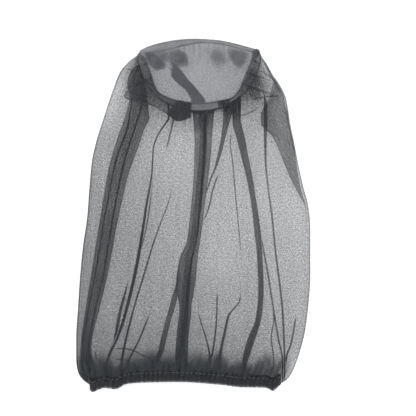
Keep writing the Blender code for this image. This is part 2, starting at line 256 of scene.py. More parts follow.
# %% [markdown]
# ## The crown's cloth, the threads and the elastic
#
# The crown is a light grey, loosely woven cloth through which darker layers show.  A plain weave
# is two sets of ribs at right angles, each raised where the other dips.  Sewing thread is spun
# from two strands, so its finish has a slanting rib.  The elastic shares it, a little paler.
# Where the cloth lies bunched or folded its colour is made darker as well, which is painted shade.

# %% Crown cloth, thread and elastic finishes
CLOTH_PITCH = 0.0009


def crown_finish(name, dark, light, hiding):
    """Plain weave: ribs one way and the other.  hiding is how much one layer covers."""
    finish = Finish(name)
    place, along, across = finish.cloth_place()
    turn = math.pi / CLOTH_PITCH
    weave = abs((along * turn).sine()) * 0.5 + abs((across * turn).sine()) * 0.5
    slubs = finish.clouds(place, 900.0, 60.0)
    # Random paler and darker blotches, in the cloth's colour and in how much it hides.
    blotches = finish.clouds(place, 45.0, 45.0, 3.0)
    bunching = finish.attribute("bunching")
    cover = bunching * (0.65 + weave * 0.25 + slubs * 0.2 + blotches * 0.3)
    # The colour mixes slubs and random blotches, made darker where bunching is high: painted shade
    # in the folds and at the rims.
    tone_and_fold_shade = slubs * 0.3 + blotches * 2.2 - 0.62 - (bunching - 1) * 0.42
    return finish.surface(
        {
            "Base Color": finish.between(tone_and_fold_shade.at_least(0.0).at_most(1.0), dark, light),
            "Roughness": 0.85,
            "Sheen Weight": 0.2,
            "Alpha": 1 - (1 - hiding) ** cover,
            "Normal": finish.bump(weave + slubs * 0.5, 0.00015),
        }
    )


def thread_finish(name, dark, light):
    finish = Finish(name)
    _, along, across = finish.cloth_place()
    twist = (along * 5200.0 + across * 2600.0).sine() * 0.5 + 0.5
    return finish.surface(
        {
            "Base Color": finish.between(twist, dark, light),
            "Roughness": 0.6,
            "Normal": finish.bump(twist, 0.00008),
        }
    )


crown_material = crown_finish("crown_cloth", (0.070, 0.071, 0.079), (0.185, 0.184, 0.199), 0.535)
# The band is the crown's cloth with more hiding and a darker colour; the darker colour is painted
# shade on the squashed band.
shaded_band_material = crown_finish("shaded_band_cloth", (0.038, 0.038, 0.043), (0.075, 0.075, 0.083), 0.77)
dark_thread = thread_finish("dark_thread", (0.012, 0.012, 0.014), (0.040, 0.040, 0.044))
grey_thread = thread_finish("grey_thread", (0.30, 0.30, 0.31), (0.50, 0.50, 0.51))
pale_thread = thread_finish("pale_thread", (0.07, 0.07, 0.075), (0.17, 0.17, 0.175))
elastic_material = thread_finish("ribbed_elastic", (0.045, 0.045, 0.050), (0.10, 0.10, 0.11))
print("finishes:", [m.name for m in bpy.data.materials][:8])

# %% [markdown]
# ## Curves to cut by
#
# A pattern cutter draws edges as smooth curves through a few measured marks.  Here each such edge
# is a list of marks in millimetres, joined by a curve that never swings past them.


# %% Smooth curves and small sums
class Marked:
    """A smooth curve through (station, value) marks in millimetres, asked for in metres."""

    def __init__(self, *marks):
        at, value = (np.array(sorted(marks), dtype=float) * MM).T
        slope = np.diff(value) / np.diff(at)
        product = slope[:-1] * slope[1:]
        total = slope[:-1] + slope[1:]
        safe = np.where(product > 0, total, 1.0)
        inner = np.where(product > 0, 2 * product / safe, 0.0)
        tangent = np.concatenate([slope[:1], inner, slope[-1:]])
        fine = np.linspace(at[0], at[-1], 800)
        i = np.clip(np.searchsorted(at, fine, side="right") - 1, 0, len(slope) - 1)
        h = (at[1:] - at[:-1])[i]
        t = (fine - at[i]) / h
        self.value = (
            (1 + 2 * t) * (1 - t) ** 2 * value[i]
            + t * (1 - t) ** 2 * h * tangent[i]
            + t * t * (3 - 2 * t) * value[i + 1]
            + t * t * (t - 1) * h * tangent[i + 1]
        )
        self.at = fine

    def __call__(self, station):
        return np.interp(station, self.at, self.value)


def mix(a, b, t):
    return a + (b - a) * t


def ease(t):
    t = np.clip(t, 0.0, 1.0)
    return t * t * (3 - 2 * t)


def hump(t):
    """Nothing at 0 and at 1, and full half way."""
    return np.sin(math.pi * np.clip(t, 0, 1))


def inwards(u, reach):
    """Nothing at both sides of a sheet, and full once further in than reach."""
    return ease(np.minimum(u, 1 - u) / reach)


def unit(directions):
    return directions / np.linalg.norm(directions, axis=1, keepdims=True)


def ripple(along, across, waves):
    """A calm, never repeating unevenness, from a few crossing waves of (pitch, slant, share)."""
    total = 0.0
    for number, (pitch, slant, share) in enumerate(waves):
        turn = 2 * math.pi * (along / pitch + across * slant)
        total = total + share * np.sin(turn + 1.7 * number)
    return total


# %% [markdown]
# ## The net tube's outline
#
# The net is one tube, wider than the crown and the neck.  Laid down, its two sides become the
# outline: sloping shoulders, a long slow flare and a rounded turn in to the hem.  These are the
# sides, the hem's edge and the height of the low dome that the trapped air and the folds hold up.

# %% Sides, hem edge and dome height
LEFT_SIDE = Marked(
    (-264, -155), (-258, -165), (-244, -175), (-225, -178), (-193, -178), (-141, -175),
    (-96, -172), (-50, -167.5), (-4, -161), (36, -158), (79, -154), (115, -146), (143, -137),
    (171, -128), (195, -119.5), (220, -108), (228, -101), (237, -93), (244, -82),
)
RIGHT_SIDE = Marked(
    (-266, 127), (-259, 138), (-253, 146), (-240, 154), (-217, 162.5), (-180, 172),
    (-141, 177), (-96, 180), (-22, 180), (11, 177), (42, 169), (79, 161), (115, 154),
    (143, 149), (174, 145.5), (196, 135), (211, 124), (234, 113), (247, 104),
)
HEM_EDGE = Marked(
    (-161, -262), (-153, -272.5), (-144, -269), (-134, -266), (-118, -268), (-100, -260),
    (-77, -258), (-22, -257), (41, -261), (76, -265), (111, -265.5), (123, -270.5), (131, -264),
    (139, -259),
)
RIDGE = Marked((-252, 15), (-215, 17), (-120, 23), (50, 25), (155, 24), (250, 7))
HEM_LEFT, HEM_RIGHT, HEM_DEPTH = -0.158, 0.136, 0.018
CROWN_X, BAND_Y = 0.010, 0.2435
BAND_HALF_WIDTH, BAND_FRONT_DEPTH = 0.0945, 0.0895
SEAM_OVERLAP = 0.0020
FRONT_MIDDLE = 0.018
CROWN_FRONT = Marked(
    (-82, 244), (-72, 233), (-65, 213), (-60, 196), (-52, 183), (-40, 176), (-26, 171),
    (-1, 166.5), (20, 166.5), (39, 169), (58.5, 173.5), (70, 184), (78, 198), (85, 213), (91, 234),
    (98, 249),
)
CROWN_BACK = Marked(
    (-82, 248), (-68, 254.5), (-49, 260), (-26, 264.5), (-8, 266.5), (6, 267), (35, 265.5),
    (64, 260), (77, 256.5), (98, 250.5),
)
BAND_SHOWN_BEHIND = Marked(
    (-84, 3), (-62, 10), (-40, 11), (-12, 8.5), (17, 5), (60, 3.5), (103, 2)
)
SIDE_Z = 0.0030


def back_edge(x):
    """The band's lower edge behind, where the lower net begins."""
    inside = hump((x + 0.083) / 0.186) ** 0.35
    return mix(BAND_Y, CROWN_BACK(x) - BAND_SHOWN_BEHIND(x), inside)


def band_height(turn):
    """Height of the band's lower edge at an angle round it."""
    rise = np.abs(np.sin(turn)) ** 1.3
    return mix(0.0058, np.where(np.sin(turn) > 0, 0.0024, 0.0250), rise)


def dome_height(x, y):
    """Height of the upper net over a point of the table."""
    left, right = LEFT_SIDE(y), RIGHT_SIDE(y)
    across = np.clip(np.abs((2 * x - left - right) / (right - left)), 0.0, 1.0)
    squareness = mix(7.0, 2.8, ease((y + 0.25) / 0.10))
    dome = mix(RIDGE(y), SIDE_Z, across**squareness)
    ring_x = (x - CROWN_X) / BAND_HALF_WIDTH
    ring_y = (y - BAND_Y) / BAND_FRONT_DEPTH
    at_band = band_height(np.arctan2(np.minimum(ring_y, 0.0), ring_x))
    return mix(at_band, dome, ease((np.hypot(ring_x, ring_y) - 1.0) / 0.55))


def net_place(u, v, behind=False):
    """(x, y) of the net: u from the left side to the right, v from the band down to the hem."""
    turn = math.pi + math.pi * u
    top_x = CROWN_X + (BAND_HALF_WIDTH - SEAM_OVERLAP) * np.cos(turn)
    top_y = BAND_Y + (BAND_FRONT_DEPTH - SEAM_OVERLAP) * np.sin(turn)
    if behind:
        top_y = back_edge(top_x) + SEAM_OVERLAP * np.abs(np.sin(turn))
    at_side = 1 - inwards(u, 0.055)
    low_y = HEM_EDGE(mix(HEM_LEFT, HEM_RIGHT, u)) + HEM_DEPTH * mix(0.55, 0.05, at_side)
    y = mix(top_y, low_y, v)
    held = 1 - ease((top_y - y) / 0.20)
    flat_x = mix(LEFT_SIDE(y), RIGHT_SIDE(y), u)
    flat_top = mix(LEFT_SIDE(top_y), RIGHT_SIDE(top_y), u)
    return flat_x + (top_x - flat_top) * held, y


middle = net_place(np.array([0.0, 0.5, 1.0]), 0.5)
print("net half way down, x:", [round(float(x), 3) for x in middle[0]])

# %% [markdown]
# ## Folds
#
# Laid cloth that is too wide for its outline lies in folds.  A fold is a stretch where the sheet
# turns back on itself and on again, so it is three layers thick and looks darker.  Each fold here
# is a route down the net, given as marks of (y, x of its middle, half its width).  A narrow one is
# a crease.  The sheet's row of points then walks across the veil, and steps back at every fold.


# %% Folds as routes, and the walk across them
FOLD_GONE = 0.2


class Fold:
    """A pleat down the net along marks (y, middle, half width) in millimetres.

    A mark without a half width is where the pleat has all but run out.
    """

    def __init__(self, *marks, closeness=1.3):
        marks = [(*mark, FOLD_GONE)[:3] for mark in marks]
        self.middle = Marked(*[(y, x) for y, x, _ in marks])
        self.half = Marked(*[(y, half) for y, _, half in marks])
        self.closeness = closeness


NET_FOLDS = [
    Fold((216, -84), (200, -90, 0.6), (175, -92, 1.0), (135, -98, 1.2), (82, -116, 1.1),
         (17, -130, 1.0), (-40, -140, 1.0), (-94, -149, 1.0), (-145, -159, 1.0), (-206, -168, 1.0),
         (-239, -168, 1.0)),
    Fold((216, -78, 9), (205, -80, 14), (190, -82, 18), (175, -82.5, 20.5), (163, -81, 20),
         (135, -89, 17.8), (108, -98, 17), (82, -107, 15.5), (59, -113.5, 14.5),
         (17, -122.5, 13.4), (-40, -133, 13.2), (-94, -142.5, 12.4), (-145, -153, 10.8),
         (-206, -163, 8.5), (-239, -163, 11), closeness=0.94),
    Fold((216, -76), (200, -77, 1.0), (175, -76, 1.3), (135, -86, 1.3), (82, -103, 1.3),
         (17, -117, 1.3), (-40, -127, 1.2), (-94, -136, 1.2), (-145, -148, 1.2), (-206, -159, 1.2),
         (-239, -158, 1.2), closeness=1.4),
    Fold((140, -60), (0, -95), (-100, -98, 0.3), (-125, -103.5, 1.6), (-145, -109, 2.2),
         (-162, -112.5, 2.2), (-181, -116, 1.8), (-200, -122, 0.3), (-250, -140)),
    Fold((143, -36, 0.9), (119, -52, 0.9), (100, -59, 0.9), (59, -61.5, 1.0), (11, -70, 1.4),
         (-36, -77, 1.9), (-91, -87, 2.3), (-131, -96.5, 2.3), (-164, -105.5, 2.1),
         (-190, -114.5, 2), (-216, -127, 2), (-240, -134, 2), closeness=2.2),
    Fold((140, -33), (60, -58), (10, -65, 0.9), (-10, -68, 0.9), (-40, -74, 0.8), (-60, -79),
         (-250, -130), closeness=1.2),
    Fold((141, -29, 1.0), (106, -37, 1.0), (96, -40), (0, -57), (-130, -90), (-250, -120),
         closeness=1.2),
    Fold((140, -20), (60, -28), (40, -30, 0.3), (15, -37, 0.7), (-10, -46.5, 0.9), (-48, -60, 1.1),
         (-91, -73, 1.2), (-137, -87, 1.3), (-178, -98, 1.5), (-212, -105.5, 1.7),
         (-242, -110.5, 1.8), closeness=1.5),
    Fold((140, -12), (0, -25), (-100, -50), (-150, -64, 0.4), (-165, -70, 1.2), (-190, -80, 1.3),
         (-226, -98, 1.3), (-245, -104, 1.3)),
    Fold((140, 5), (0, -2), (-71, -19, 0.3), (-110, -24, 1.5), (-132, -28, 4.2), (-160, -36, 4.0),
         (-183, -42, 4.0), (-209, -48, 4.2), (-224, -54, 4.0), (-245, -60, 3.5), closeness=1.1),
    Fold((146, 17, 11), (103, 16.4, 11), (67, 14.2, 10.3), (8, 8, 9.6), (-40, 2, 9.7),
         (-71, -6, 13.5), (-100, -9.5, 14.6), (-122, -11, 12.5), (-140, -10.5, 9),
         (-181, -14.5, 9), (-209, -16.4, 9.4), (-250, -17, 9), closeness=1.2),
    Fold((146, 19, 1.4), (103, 18.4, 1.4), (67, 16.4, 1.3), (8, 11, 1.2), (-40, 6, 0.8),
         (-71, -1, 1.2), (-100, -5.5, 1.8), (-140, -8.5, 2.2), (-181, -12, 2.4), (-209, -14, 2.4),
         (-250, -15, 2.0), closeness=3.0),
    Fold((150, 54, 5.6), (111, 46, 3.1), (88, 40.5, 2.5), (68, 34.5, 1.5), (53, 28, 1.2),
         (39, 23.5, 1.0), (25, 19), (0, 12), (-60, 5), (-250, -8), closeness=1.4),
    Fold((150, 57), (110, 48.5), (62, 40, 0.3), (53, 36.7, 1.0), (34, 30.5, 1.1), (15, 26.5, 1.1),
         (-4, 20.3, 0.9), (-14, 15), (-60, 10), (-250, -5)),
    Fold((150, 58), (50, 41), (0, 27), (-60, 17), (-150, 9, 0.3), (-160, 11.5, 1.0),
         (-193, 21.5, 1.1), (-215, 26, 1.2), (-250, 24, 0.3), closeness=1.4),
    Fold((150, 59), (60, 46), (-60, 38), (-118, 37.5, 0.3), (-130, 37.5, 1.0), (-169, 36, 1.1),
         (-209, 31, 1.3), (-235, 24.5, 1.3), (-250, 23, 1.2), closeness=1.4),
    Fold((150, 60), (50, 55), (-60, 66), (-120, 73, 0.3), (-131, 72, 1.1), (-156, 54.5, 1.5),
         (-174, 50.5, 1.6), (-216, 42, 1.8), (-235, 40, 1.8), (-250, 39, 1.8), closeness=1.5),
    Fold((150, 61), (124, 54, 0.3), (114, 55.5, 0.8), (77, 61, 0.9), (28, 65.3, 0.9),
         (-4, 68.5, 0.8), (-35, 71.6, 0.7), (-70, 74.6, 0.3), (-131, 80), (-190, 74), (-250, 66)),
    Fold((137, 67, 5.7), (112, 74, 5.4), (91, 78.5, 4.9), (53, 87, 4.3), (14, 93.6, 4.0),
         (-25, 98.6, 4.4), (-63, 102, 3.9), (-117, 104.2, 3.9), (-160, 100.5, 4.2),
         (-190, 90, 5.6), (-213, 83, 5.2), (-230, 79.5, 3.2), (-250, 79, 2.5), closeness=1.6),
    Fold((100, 92), (-42, 104), (-150, 122, 0.3), (-161, 124, 0.9), (-190, 120, 1.0),
         (-213, 123, 1.0), (-230, 124, 0.4), (-250, 124)),
    Fold((100, 96), (0, 103), (-35, 105, 0.4), (-50, 107, 1.1), (-93, 115, 1.2),
         (-140, 122.5, 1.2), (-193, 131.5, 1.2), (-220, 137, 1.2), (-250, 138, 0.9)),
    Fold((204, 104), (190, 108, 0.3), (175, 110, 1.0), (161, 111.5, 2.4), (132, 111.5, 2.4),
         (111, 111, 1.8), (85, 111.2, 1.3), (40, 115, 1.2), (-4, 121, 1.2), (-58, 126.5, 1.2),
         (-111, 133.5, 1.3), (-155, 138, 1.3), (-220, 140.5, 1.4), (-250, 141, 1.2),
         closeness=1.4),
    Fold((150, 118), (129, 126), (106, 134), (76, 142), (0, 152), (-120, 160), (-158, 158, 0.4),
         (-168, 156.5, 1.3), (-201, 150, 1.4), (-218, 144, 1.4), (-232, 143, 0.4), (-250, 143),
         closeness=1.4),
    Fold((150, 124, 20), (140, 129, 18.5), (129, 134, 16), (106, 142, 13), (76, 150.5, 9),
         (53, 157, 5.8), (30, 165.5, 2.6), (8, 173.5, 0.6), (-50, 176, 0.3), (-180, 168, 0.3),
         (-250, 146, 0.3), closeness=1.0),
]
LAYER_LIFT = 0.0007
FULL_FOLD = 0.0044
FLAT_AGAIN = 0.008
BEND = np.array([-60.0, 0.0, 60.0]) * math.pi / 180
BEND_ROOM, THINNEST = 0.00017, 0.00003
APART, LAST_PLACE = 0.0012, 0.9985


def size_share(half):
    """How much of a full fold's lift and cover a fold of this half width has."""
    return 0.04 + 0.96 * ease(half / FULL_FOLD)


def carried(u, done):
    """The lift left over from the folds already walked."""
    lift = 0.0 * u
    for centre, half, _ in done:
        lift = lift + 2 * LAYER_LIFT * size_share(half) * (
            1 - ease((u - centre - half) / FLAT_AGAIN)
        )
    return lift


def walk_across(x, y, folds, counts):
    """The points of one row as (u, lift, closeness, turning, folded), from left to right.

    x and y are dense samples of the row.  counts says how many points each stretch gets, so that
    every row has the same number.
    """
    dense, width = np.linspace(0.0, 1.0, len(x)), float(x[-1] - x[0])
    spots = []
    previous = 0.0
    for fold in folds:
        centre = float(np.interp(0.0, np.maximum.accumulate(x - fold.middle(y)), dense))
        half = float(fold.half(float(np.interp(centre, dense, y)))) - BEND_ROOM
        half = max(half, THINNEST) / width
        previous = min(max(centre, previous + APART), LAST_PLACE)
        spots.append((previous, min(half, previous - 0.001, 0.999 - previous), fold.closeness))

    stretches = []
    start = 0.0
    for number, (centre, half, _) in enumerate(spots):
        done, skip, share = spots[:number], min(number, 1), size_share(half)
        left, right = centre - half, centre + half
        bulge = LAYER_LIFT * 0.5 * share
        out, up = bulge * np.cos(BEND) / width, bulge * (1 + np.sin(BEND))
        forward = np.linspace(start, right, counts[number][0], endpoint=False)[skip:]
        back = np.linspace(right, left, counts[number][1], endpoint=False)[1:]
        stretches += [
            (forward, carried(forward, done), 0.0),
            (right + out, carried(right, done) + up, share),
            (back, carried(back, done) + 2 * bulge, 0.0),
            (left - out, carried(left, done) + 2 * bulge + up, share),
        ]
        start = left
    last = np.linspace(start, 1.0, counts[-1][0])[1:]
    stretches.append((last, carried(last, spots), 0.0))

    u = np.concatenate([stretch[0] for stretch in stretches])
    lift = np.concatenate([stretch[1] for stretch in stretches])
    turning = np.concatenate([np.full(len(stretch[0]), stretch[2]) for stretch in stretches])
    cover, folded = 0.0 * u, 0.0 * u
    for centre, half, close in spots:
        depth = half - np.abs(np.clip(u, 0, 1) - centre)
        inside = ease(depth / 0.004 + 0.5) * size_share(half)
        cover = np.maximum(cover, inside * (close - 1.0))
        folded = np.maximum(folded, inside)
    return u, lift, 1.0 + cover, turning, folded


def stretch_counts(folds, spacing, width=0.33):
    """How many points each stretch between and within folds needs."""
    counts = []
    start = 0.0
    for fold in folds:
        middle = float(np.mean(fold.middle.value + width / 2))
        reach = float(np.max(fold.half.value))
        between = max(4, int((middle + reach - start) / spacing) + 2)
        counts.append((between, max(4, int(2 * reach / spacing) + 2)))
        start = middle - reach
    return [*counts, (max(5, int((width - start) / spacing) + 2), 0)]


net_counts = stretch_counts(NET_FOLDS, 0.0017)
print("folds:", len(NET_FOLDS), "points across the upper net:", sum(a + b for a, b in net_counts))

# %% [markdown]
# ## How closely the net is gathered
#
# Nothing on a laid veil is evenly dense.  The net is open at the shoulders, closes up down the
# left side, and packs together where the elastic draws it in at the hem.  A small chart, nine
# marks across and eight down, holds that closeness; the points between follow smoothly.

# %% The chart of closeness
CHART_Y = np.array([225, 165, 100, 20, -60, -140, -200, -235]) * MM
CHART_ACROSS = np.array([0.0, 0.06, 0.14, 0.28, 0.5, 0.7, 0.85, 0.94, 1.0])
CHART = np.array(
    [
        [1.0, 0.9, 1.4, 1.2, 0.9, 1.2, 1.3, 0.9, 0.9],
        [1.1, 1.0, 1.7, 1.5, 0.95, 1.1, 1.5, 1.0, 1.0],
        [1.5, 1.4, 1.55, 1.2, 1.05, 1.15, 1.15, 1.05, 1.0],
        [1.8, 1.5, 1.5, 1.5, 1.1, 1.15, 1.0, 1.05, 1.05],
        [2.0, 1.7, 1.7, 1.6, 1.2, 1.2, 1.2, 1.15, 1.1],
        [2.0, 1.8, 1.85, 1.7, 1.6, 1.45, 1.35, 1.25, 1.15],
        [2.3, 2.2, 2.2, 2.05, 1.95, 1.75, 1.55, 1.4, 1.3],
        [2.6, 2.7, 3.2, 4.6, 4.4, 2.7, 2.1, 1.5, 0.9],
    ]
)


def closeness_at(u, y):
    columns = np.array([np.interp(u, CHART_ACROSS, line) for line in CHART])
    place = np.interp(-y, -CHART_Y, np.arange(len(CHART_Y)))
    low = np.clip(np.floor(place).astype(int), 0, len(CHART_Y) - 2)
    pick = np.arange(len(u))
    return mix(columns[low, pick], columns[low + 1, pick], ease(place - low))


def gather_share(u, y, v):
    """How strongly the net is drawn into pleats there, from 0 to 1."""
    # This share also darkens the net's colour in its finish: painted shade in the gathers at the
    # hem and at the band, besides the denser net.
    reach = 0.027 + 0.009 * np.sin(u * 23.0) + 0.006 * np.sin(u * 61.0)
    at_hem = 1 - ease((y + 0.243) / reach)
    at_band = 0.7 * (1 - ease(v / 0.10))
    loose_corner = 1 - 0.85 * ease((u - 0.93) / 0.06)
    return np.clip(at_hem * loose_corner + at_band, 0.0, 1.0)


print("chart of closeness:", CHART.shape)


# %% [markdown]
# ## Building the net tube
#
# The tube is woven row by row.  Each row walks across the upper net, turns round the right side,
# comes back along the lower net and turns round the left side, so that the mesh is one continuous
# sheet with two open ends: one sewn to the band and one sewn into the hem.


# %% Sheets from rows of points
def mesh_object(name, points, faces, cloth, material, closed=False):
    """One object from points, faces and each point's place on the flat cloth."""
    mesh = bpy.data.meshes.new(name)
    mesh.from_pydata(points.tolist(), [], faces)
    uv = cloth[[loop.vertex_index for loop in mesh.loops]]
    if closed:
        along = uv[:, 0].reshape(-1, 4)
        over_the_join = along.max(axis=1) - along.min(axis=1) > 0.2
        along[over_the_join[:, None] & (along < 0.1)] += cloth[:, 0].max() + 0.0016
    mesh.uv_layers.new(name="cloth").data.foreach_set("uv", uv.ravel())
    mesh.materials.append(material)
    mesh.shade_smooth()
    mesh.update()
    return placed(name, mesh)


def grid_faces(rows, columns, closed):
    """The four-cornered faces of a grid of points, row by row."""
    first = np.arange(columns if closed else columns - 1)
    second = (first + 1) % columns
    start = np.arange(rows - 1)[:, None] * columns
    corners = [start + first, start + second, start + columns + second, start + columns + first]
    return np.stack(corners, axis=-1).reshape(-1, 4)


def sheet_object(name, rows, material, closed=False):
    """A sheet from rows of (x, y, z, along the cloth, down the cloth, bunching[, gather])."""
    grid = np.array([np.stack(np.broadcast_arrays(*row), axis=-1) for row in rows])
    flat = grid.reshape(-1, grid.shape[2])
    faces = grid_faces(*grid.shape[:2], closed).tolist()
    sheet = mesh_object(name, flat[:, :3], faces, flat[:, 3:5].copy(), material, closed)
    for label, values in zip(("bunching", "gather"), flat.T[5:]):
        attribute = sheet.data.attributes.new(label, "FLOAT", "POINT")
        attribute.data.foreach_set("value", values.astype(np.float32))
    return sheet


def mesh_area(obj):
    return sum(face.area for face in obj.data.polygons)


CLOTH_WIDE = 0.34
NEAR_SIDE = 0.0045


def upper_row(v):
    """One row over the upper net: x, y, z, bunching and gather of each point."""
    x, y = net_place(np.linspace(0.0, 1.0, 500), v)
    width = x[-1] - x[0]
    u, lift, cover, turning, folded = walk_across(x, y, NET_FOLDS, net_counts)
    within = np.clip(u, 0.0, 1.0)
    x, y = net_place(within, v)
    x = x + (u - within) * width
    gather = gather_share(u, y, v)
    wide = u * CLOTH_WIDE
    pleats = ripple(wide, y * 3.0, ((0.0083, 0.9, 0.6), (0.0127, -1.3, 0.5), (0.0061, 0.4, 0.3)))
    rumple = ripple(wide, y, ((0.047, 5.0, 0.5), (0.071, -3.0, 0.6), (0.029, 8.0, 0.25)))
    uneven = 0.0021 * gather * pleats + 0.0011 * rumple * (1 - gather)
    z = np.maximum(dome_height(x, y) + lift + inwards(u, 0.05) * uneven, 0.0028 + lift)
    bunching = closeness_at(within, y) * cover * (1 + turning)
    bunching = bunching * (1 + gather * (1.5 + 1.6 * np.clip(pleats, -0.7, 1.2)))
    bunching = bunching * (1 + 1.6 * (1 - inwards(u, NEAR_SIDE)))
    front = np.exp(-(((x - FRONT_MIDDLE) / 0.045) ** 2))
    bunching = bunching * (1 + 3.0 * (1 - ease(v / 0.018)) * front)
    # folded is added to gather, so the net's colour is darker in the folds too: painted shade
    # there, besides the denser net.
    return np.column_stack([x, y, z, bunching, np.clip(gather + 0.85 * folded, 0.0, 1.0)])


def lower_row(v, columns):
    """The same for one row along the lower net, from the right side back to the left."""
    u = np.linspace(1.0, 0.0, columns)
    x, y = net_place(u, v, behind=True)
    gather = gather_share(u, y, v)
    pleats = ripple(u * CLOTH_WIDE, y * 2.0, ((0.0091, 1.1, 0.6), (0.0139, -0.8, 0.5)))
    z = 0.0014 + 0.0008 * inwards(u, 0.05) * np.clip(pleats, -1, 1) * gather
    z = mix(z, band_height(math.pi * (1 - u)), 1 - ease(v / 0.06))
    dense_pleat = 1 + gather * (0.8 + 0.7 * np.clip(pleats, -0.8, 1.2))
    bunching = closeness_at(u, y) * dense_pleat * (1 + 1.6 * (1 - inwards(u, NEAR_SIDE)))
    return np.column_stack([x, y, z, bunching, gather])


def side_turn(first, last, outward, bunching, steps=4):
    """A few points round the rolled side between the two layers."""
    angles = np.linspace(0.0, math.pi, steps + 2)[1:-1, None]
    bulge = np.array([outward * abs(first[2] - last[2]) / 2, 0.0, 0.0])
    middle_point, reach = (first + last)[:3] / 2, (first - last)[:3] / 2
    places = middle_point + reach * np.cos(angles) + bulge * np.sin(angles)
    return np.column_stack([places, np.full(steps, bunching), np.zeros(steps)])


def build_net_tube(rows=112, lower_columns=170):
    levels = np.linspace(0.0, 1.0, rows)
    levels = mix(levels, levels**0.8, 0.5)
    grid = []
    for v in levels:
        up, low = upper_row(v), lower_row(v, lower_columns)
        right = side_turn(up[-1], low[0], 1.0, up[-1, 3])
        left = side_turn(low[-1], up[0], -1.0, up[0, 3])
        grid.append(np.concatenate([up, right, low, left]))
    steps = np.linalg.norm(np.diff(np.array(grid)[:, :, :3], axis=1), axis=2)
    along = np.concatenate([np.zeros((rows, 1)), np.cumsum(steps, axis=1)], axis=1)
    along = along * (float(np.median(along[:, -1])) / along[:, -1:])
    tube = [(*p.T[:3], a, v * 0.49, *p.T[3:]) for p, a, v in zip(grid, along, levels)]
    return sheet_object("net_veil", tube, net_material, closed=True)


net_veil = build_net_tube()
print("net tube:", len(net_veil.data.polygons), "faces,", round(mesh_area(net_veil), 3), "m2")

# %% [markdown]
# ## Creases that cross the grain
#
# Near the left end of the hem the net has been pushed up, and a few thin creases arch across the
# gathers.  A crease is a sliver of the net pinched double, so each is a narrow ribbon that lies on
# the upper net and is joined to it.


# %% Arched creases
def crease(path, width, closeness, lift):
    """A pinched sliver of net along a path of (x, y), lift above the dome, all in millimetres."""
    path = np.array(path, dtype=float) * MM
    run = np.concatenate([[0.0], np.cumsum(np.hypot(*np.diff(path, axis=0).T))])
    fine = np.linspace(0.0, run[-1], 60)
    smooth = [Marked(*zip(run * 1000, path[:, i] * 1000, strict=True))(fine) for i in (0, 1)]
    tangent = np.gradient(np.stack(smooth, axis=1), axis=0)
    side_x, side_y = unit(np.stack([-tangent[:, 1], tangent[:, 0]], axis=1)).T
    taper = ease(np.minimum(fine, run[-1] - fine) / 0.010)
    rows = []
    for across, rise in ((-1.0, 0.0), (-0.4, 0.5), (0.2, 0.7), (1.0, 0.1)):
        out = across * width * MM * (0.2 + 0.8 * taper)
        x, y = smooth[0] + side_x * out, smooth[1] + side_y * out
        z = dome_height(x, y) + (lift + rise) * MM
        # gather 0.3 darkens the crease's colour a little: painted shade in the pinch.
        rows.append((x, y, z, x * 1.3, y * 1.3, closeness * taper + 0.02, 0.3))
    return sheet_object("crease", rows, net_material)


def join_to(whole, part):
    with bpy.context.temp_override(active_object=whole, selected_editable_objects=[whole, part]):
        bpy.ops.object.join()


def pinched(whole, creases, lift):
    """Join creases, given as (path, width, closeness), to a sheet."""
    for path, width, closeness in creases:
        join_to(whole, crease(path, width, closeness, lift))
    print(whole.name, "with its creases:", len(whole.data.polygons), "faces")


CREASES = [
    ([(-119, -206), (-106, -205), (-96, -206.5), (-86, -210), (-77, -214.5), (-60, -223)], 1.0, 9),
    ([(-149, -205), (-147.5, -217), (-141, -226), (-133, -233), (-125, -244)], 0.9, 8.0),
    ([(-122, -222), (-106, -222.5), (-93, -227), (-80, -235)], 0.8, 5.0),
    ([(-52, -233), (-44, -226), (-38, -230), (-33, -236)], 0.9, 7.0),
]
pinched(net_veil, CREASES, 2.6)

# %% [markdown]
# ## The crown
#
# The crown is an oval of light cloth.  Laid down it becomes a lens: its back rim nearly straight,
# its front rim bowed towards us, and one slanting fold across it where the cloth is too deep.  The
# same walk that folds the net folds this cloth.

# %% Crown panel
CROWN_LEFT, CROWN_RIGHT = -0.0805, 0.0965
CROWN_FOLDS = [
    Fold((267, -44, 0.2), (234, -34, 0.3), (224, -27, 3.5), (214, -23, 8.5), (206, -19.5, 11),
         (195, -10.5, 10.6), (184, 1, 8.8), (172, 9, 9.8), closeness=3.2),
]
crown_counts = stretch_counts(CROWN_FOLDS, 0.0022, 0.18)


def crown_place(u, v):
    x = mix(CROWN_LEFT, CROWN_RIGHT, u)
    return x, mix(CROWN_BACK(x), CROWN_FRONT(x), v)


def crown_height(u, v):
    across = hump(u)
    back = mix(0.0125, 0.0085, across**0.6)
    front = mix(0.0125, 0.0335, across**1.3)
    return mix(back, front, np.clip(v, 0, 1) ** 0.75) + 0.0045 * across * hump(v)


def build_crown(rows=70):
    grid = []
    for v in np.linspace(0.0, 1.0, rows):
        dense = crown_place(np.linspace(0.0, 1.0, 400), v)
        u, lift, cover, turning, _ = walk_across(*dense, CROWN_FOLDS, crown_counts)
        x, y = crown_place(np.clip(u, 0, 1), v)
        rumple = ripple(x, y, ((0.031, 17.0, 0.5), (0.052, -11.0, 0.6), (0.019, 29.0, 0.25)))
        z = crown_height(u, v) + lift + 0.0012 * rumple * hump(u) * hump(v)
        # cover, turning and rim raise bunching: the cloth hides more there, and crown_finish
        # darkens its colour too, as painted shade in the slanting fold and along both rims.
        rim = 1 + 0.9 * (1 - ease(v / 0.03)) + 0.8 * (1 - ease((1 - v) / 0.03))
        grid.append((x, y, z, x, y, cover * (1 + 0.3 * turning) * rim))
    return sheet_object("crown_panel_cloth", grid, crown_material)


crown_panel = build_crown()
print("crown:", round(mesh_area(crown_panel) * 1e4), "cm2")

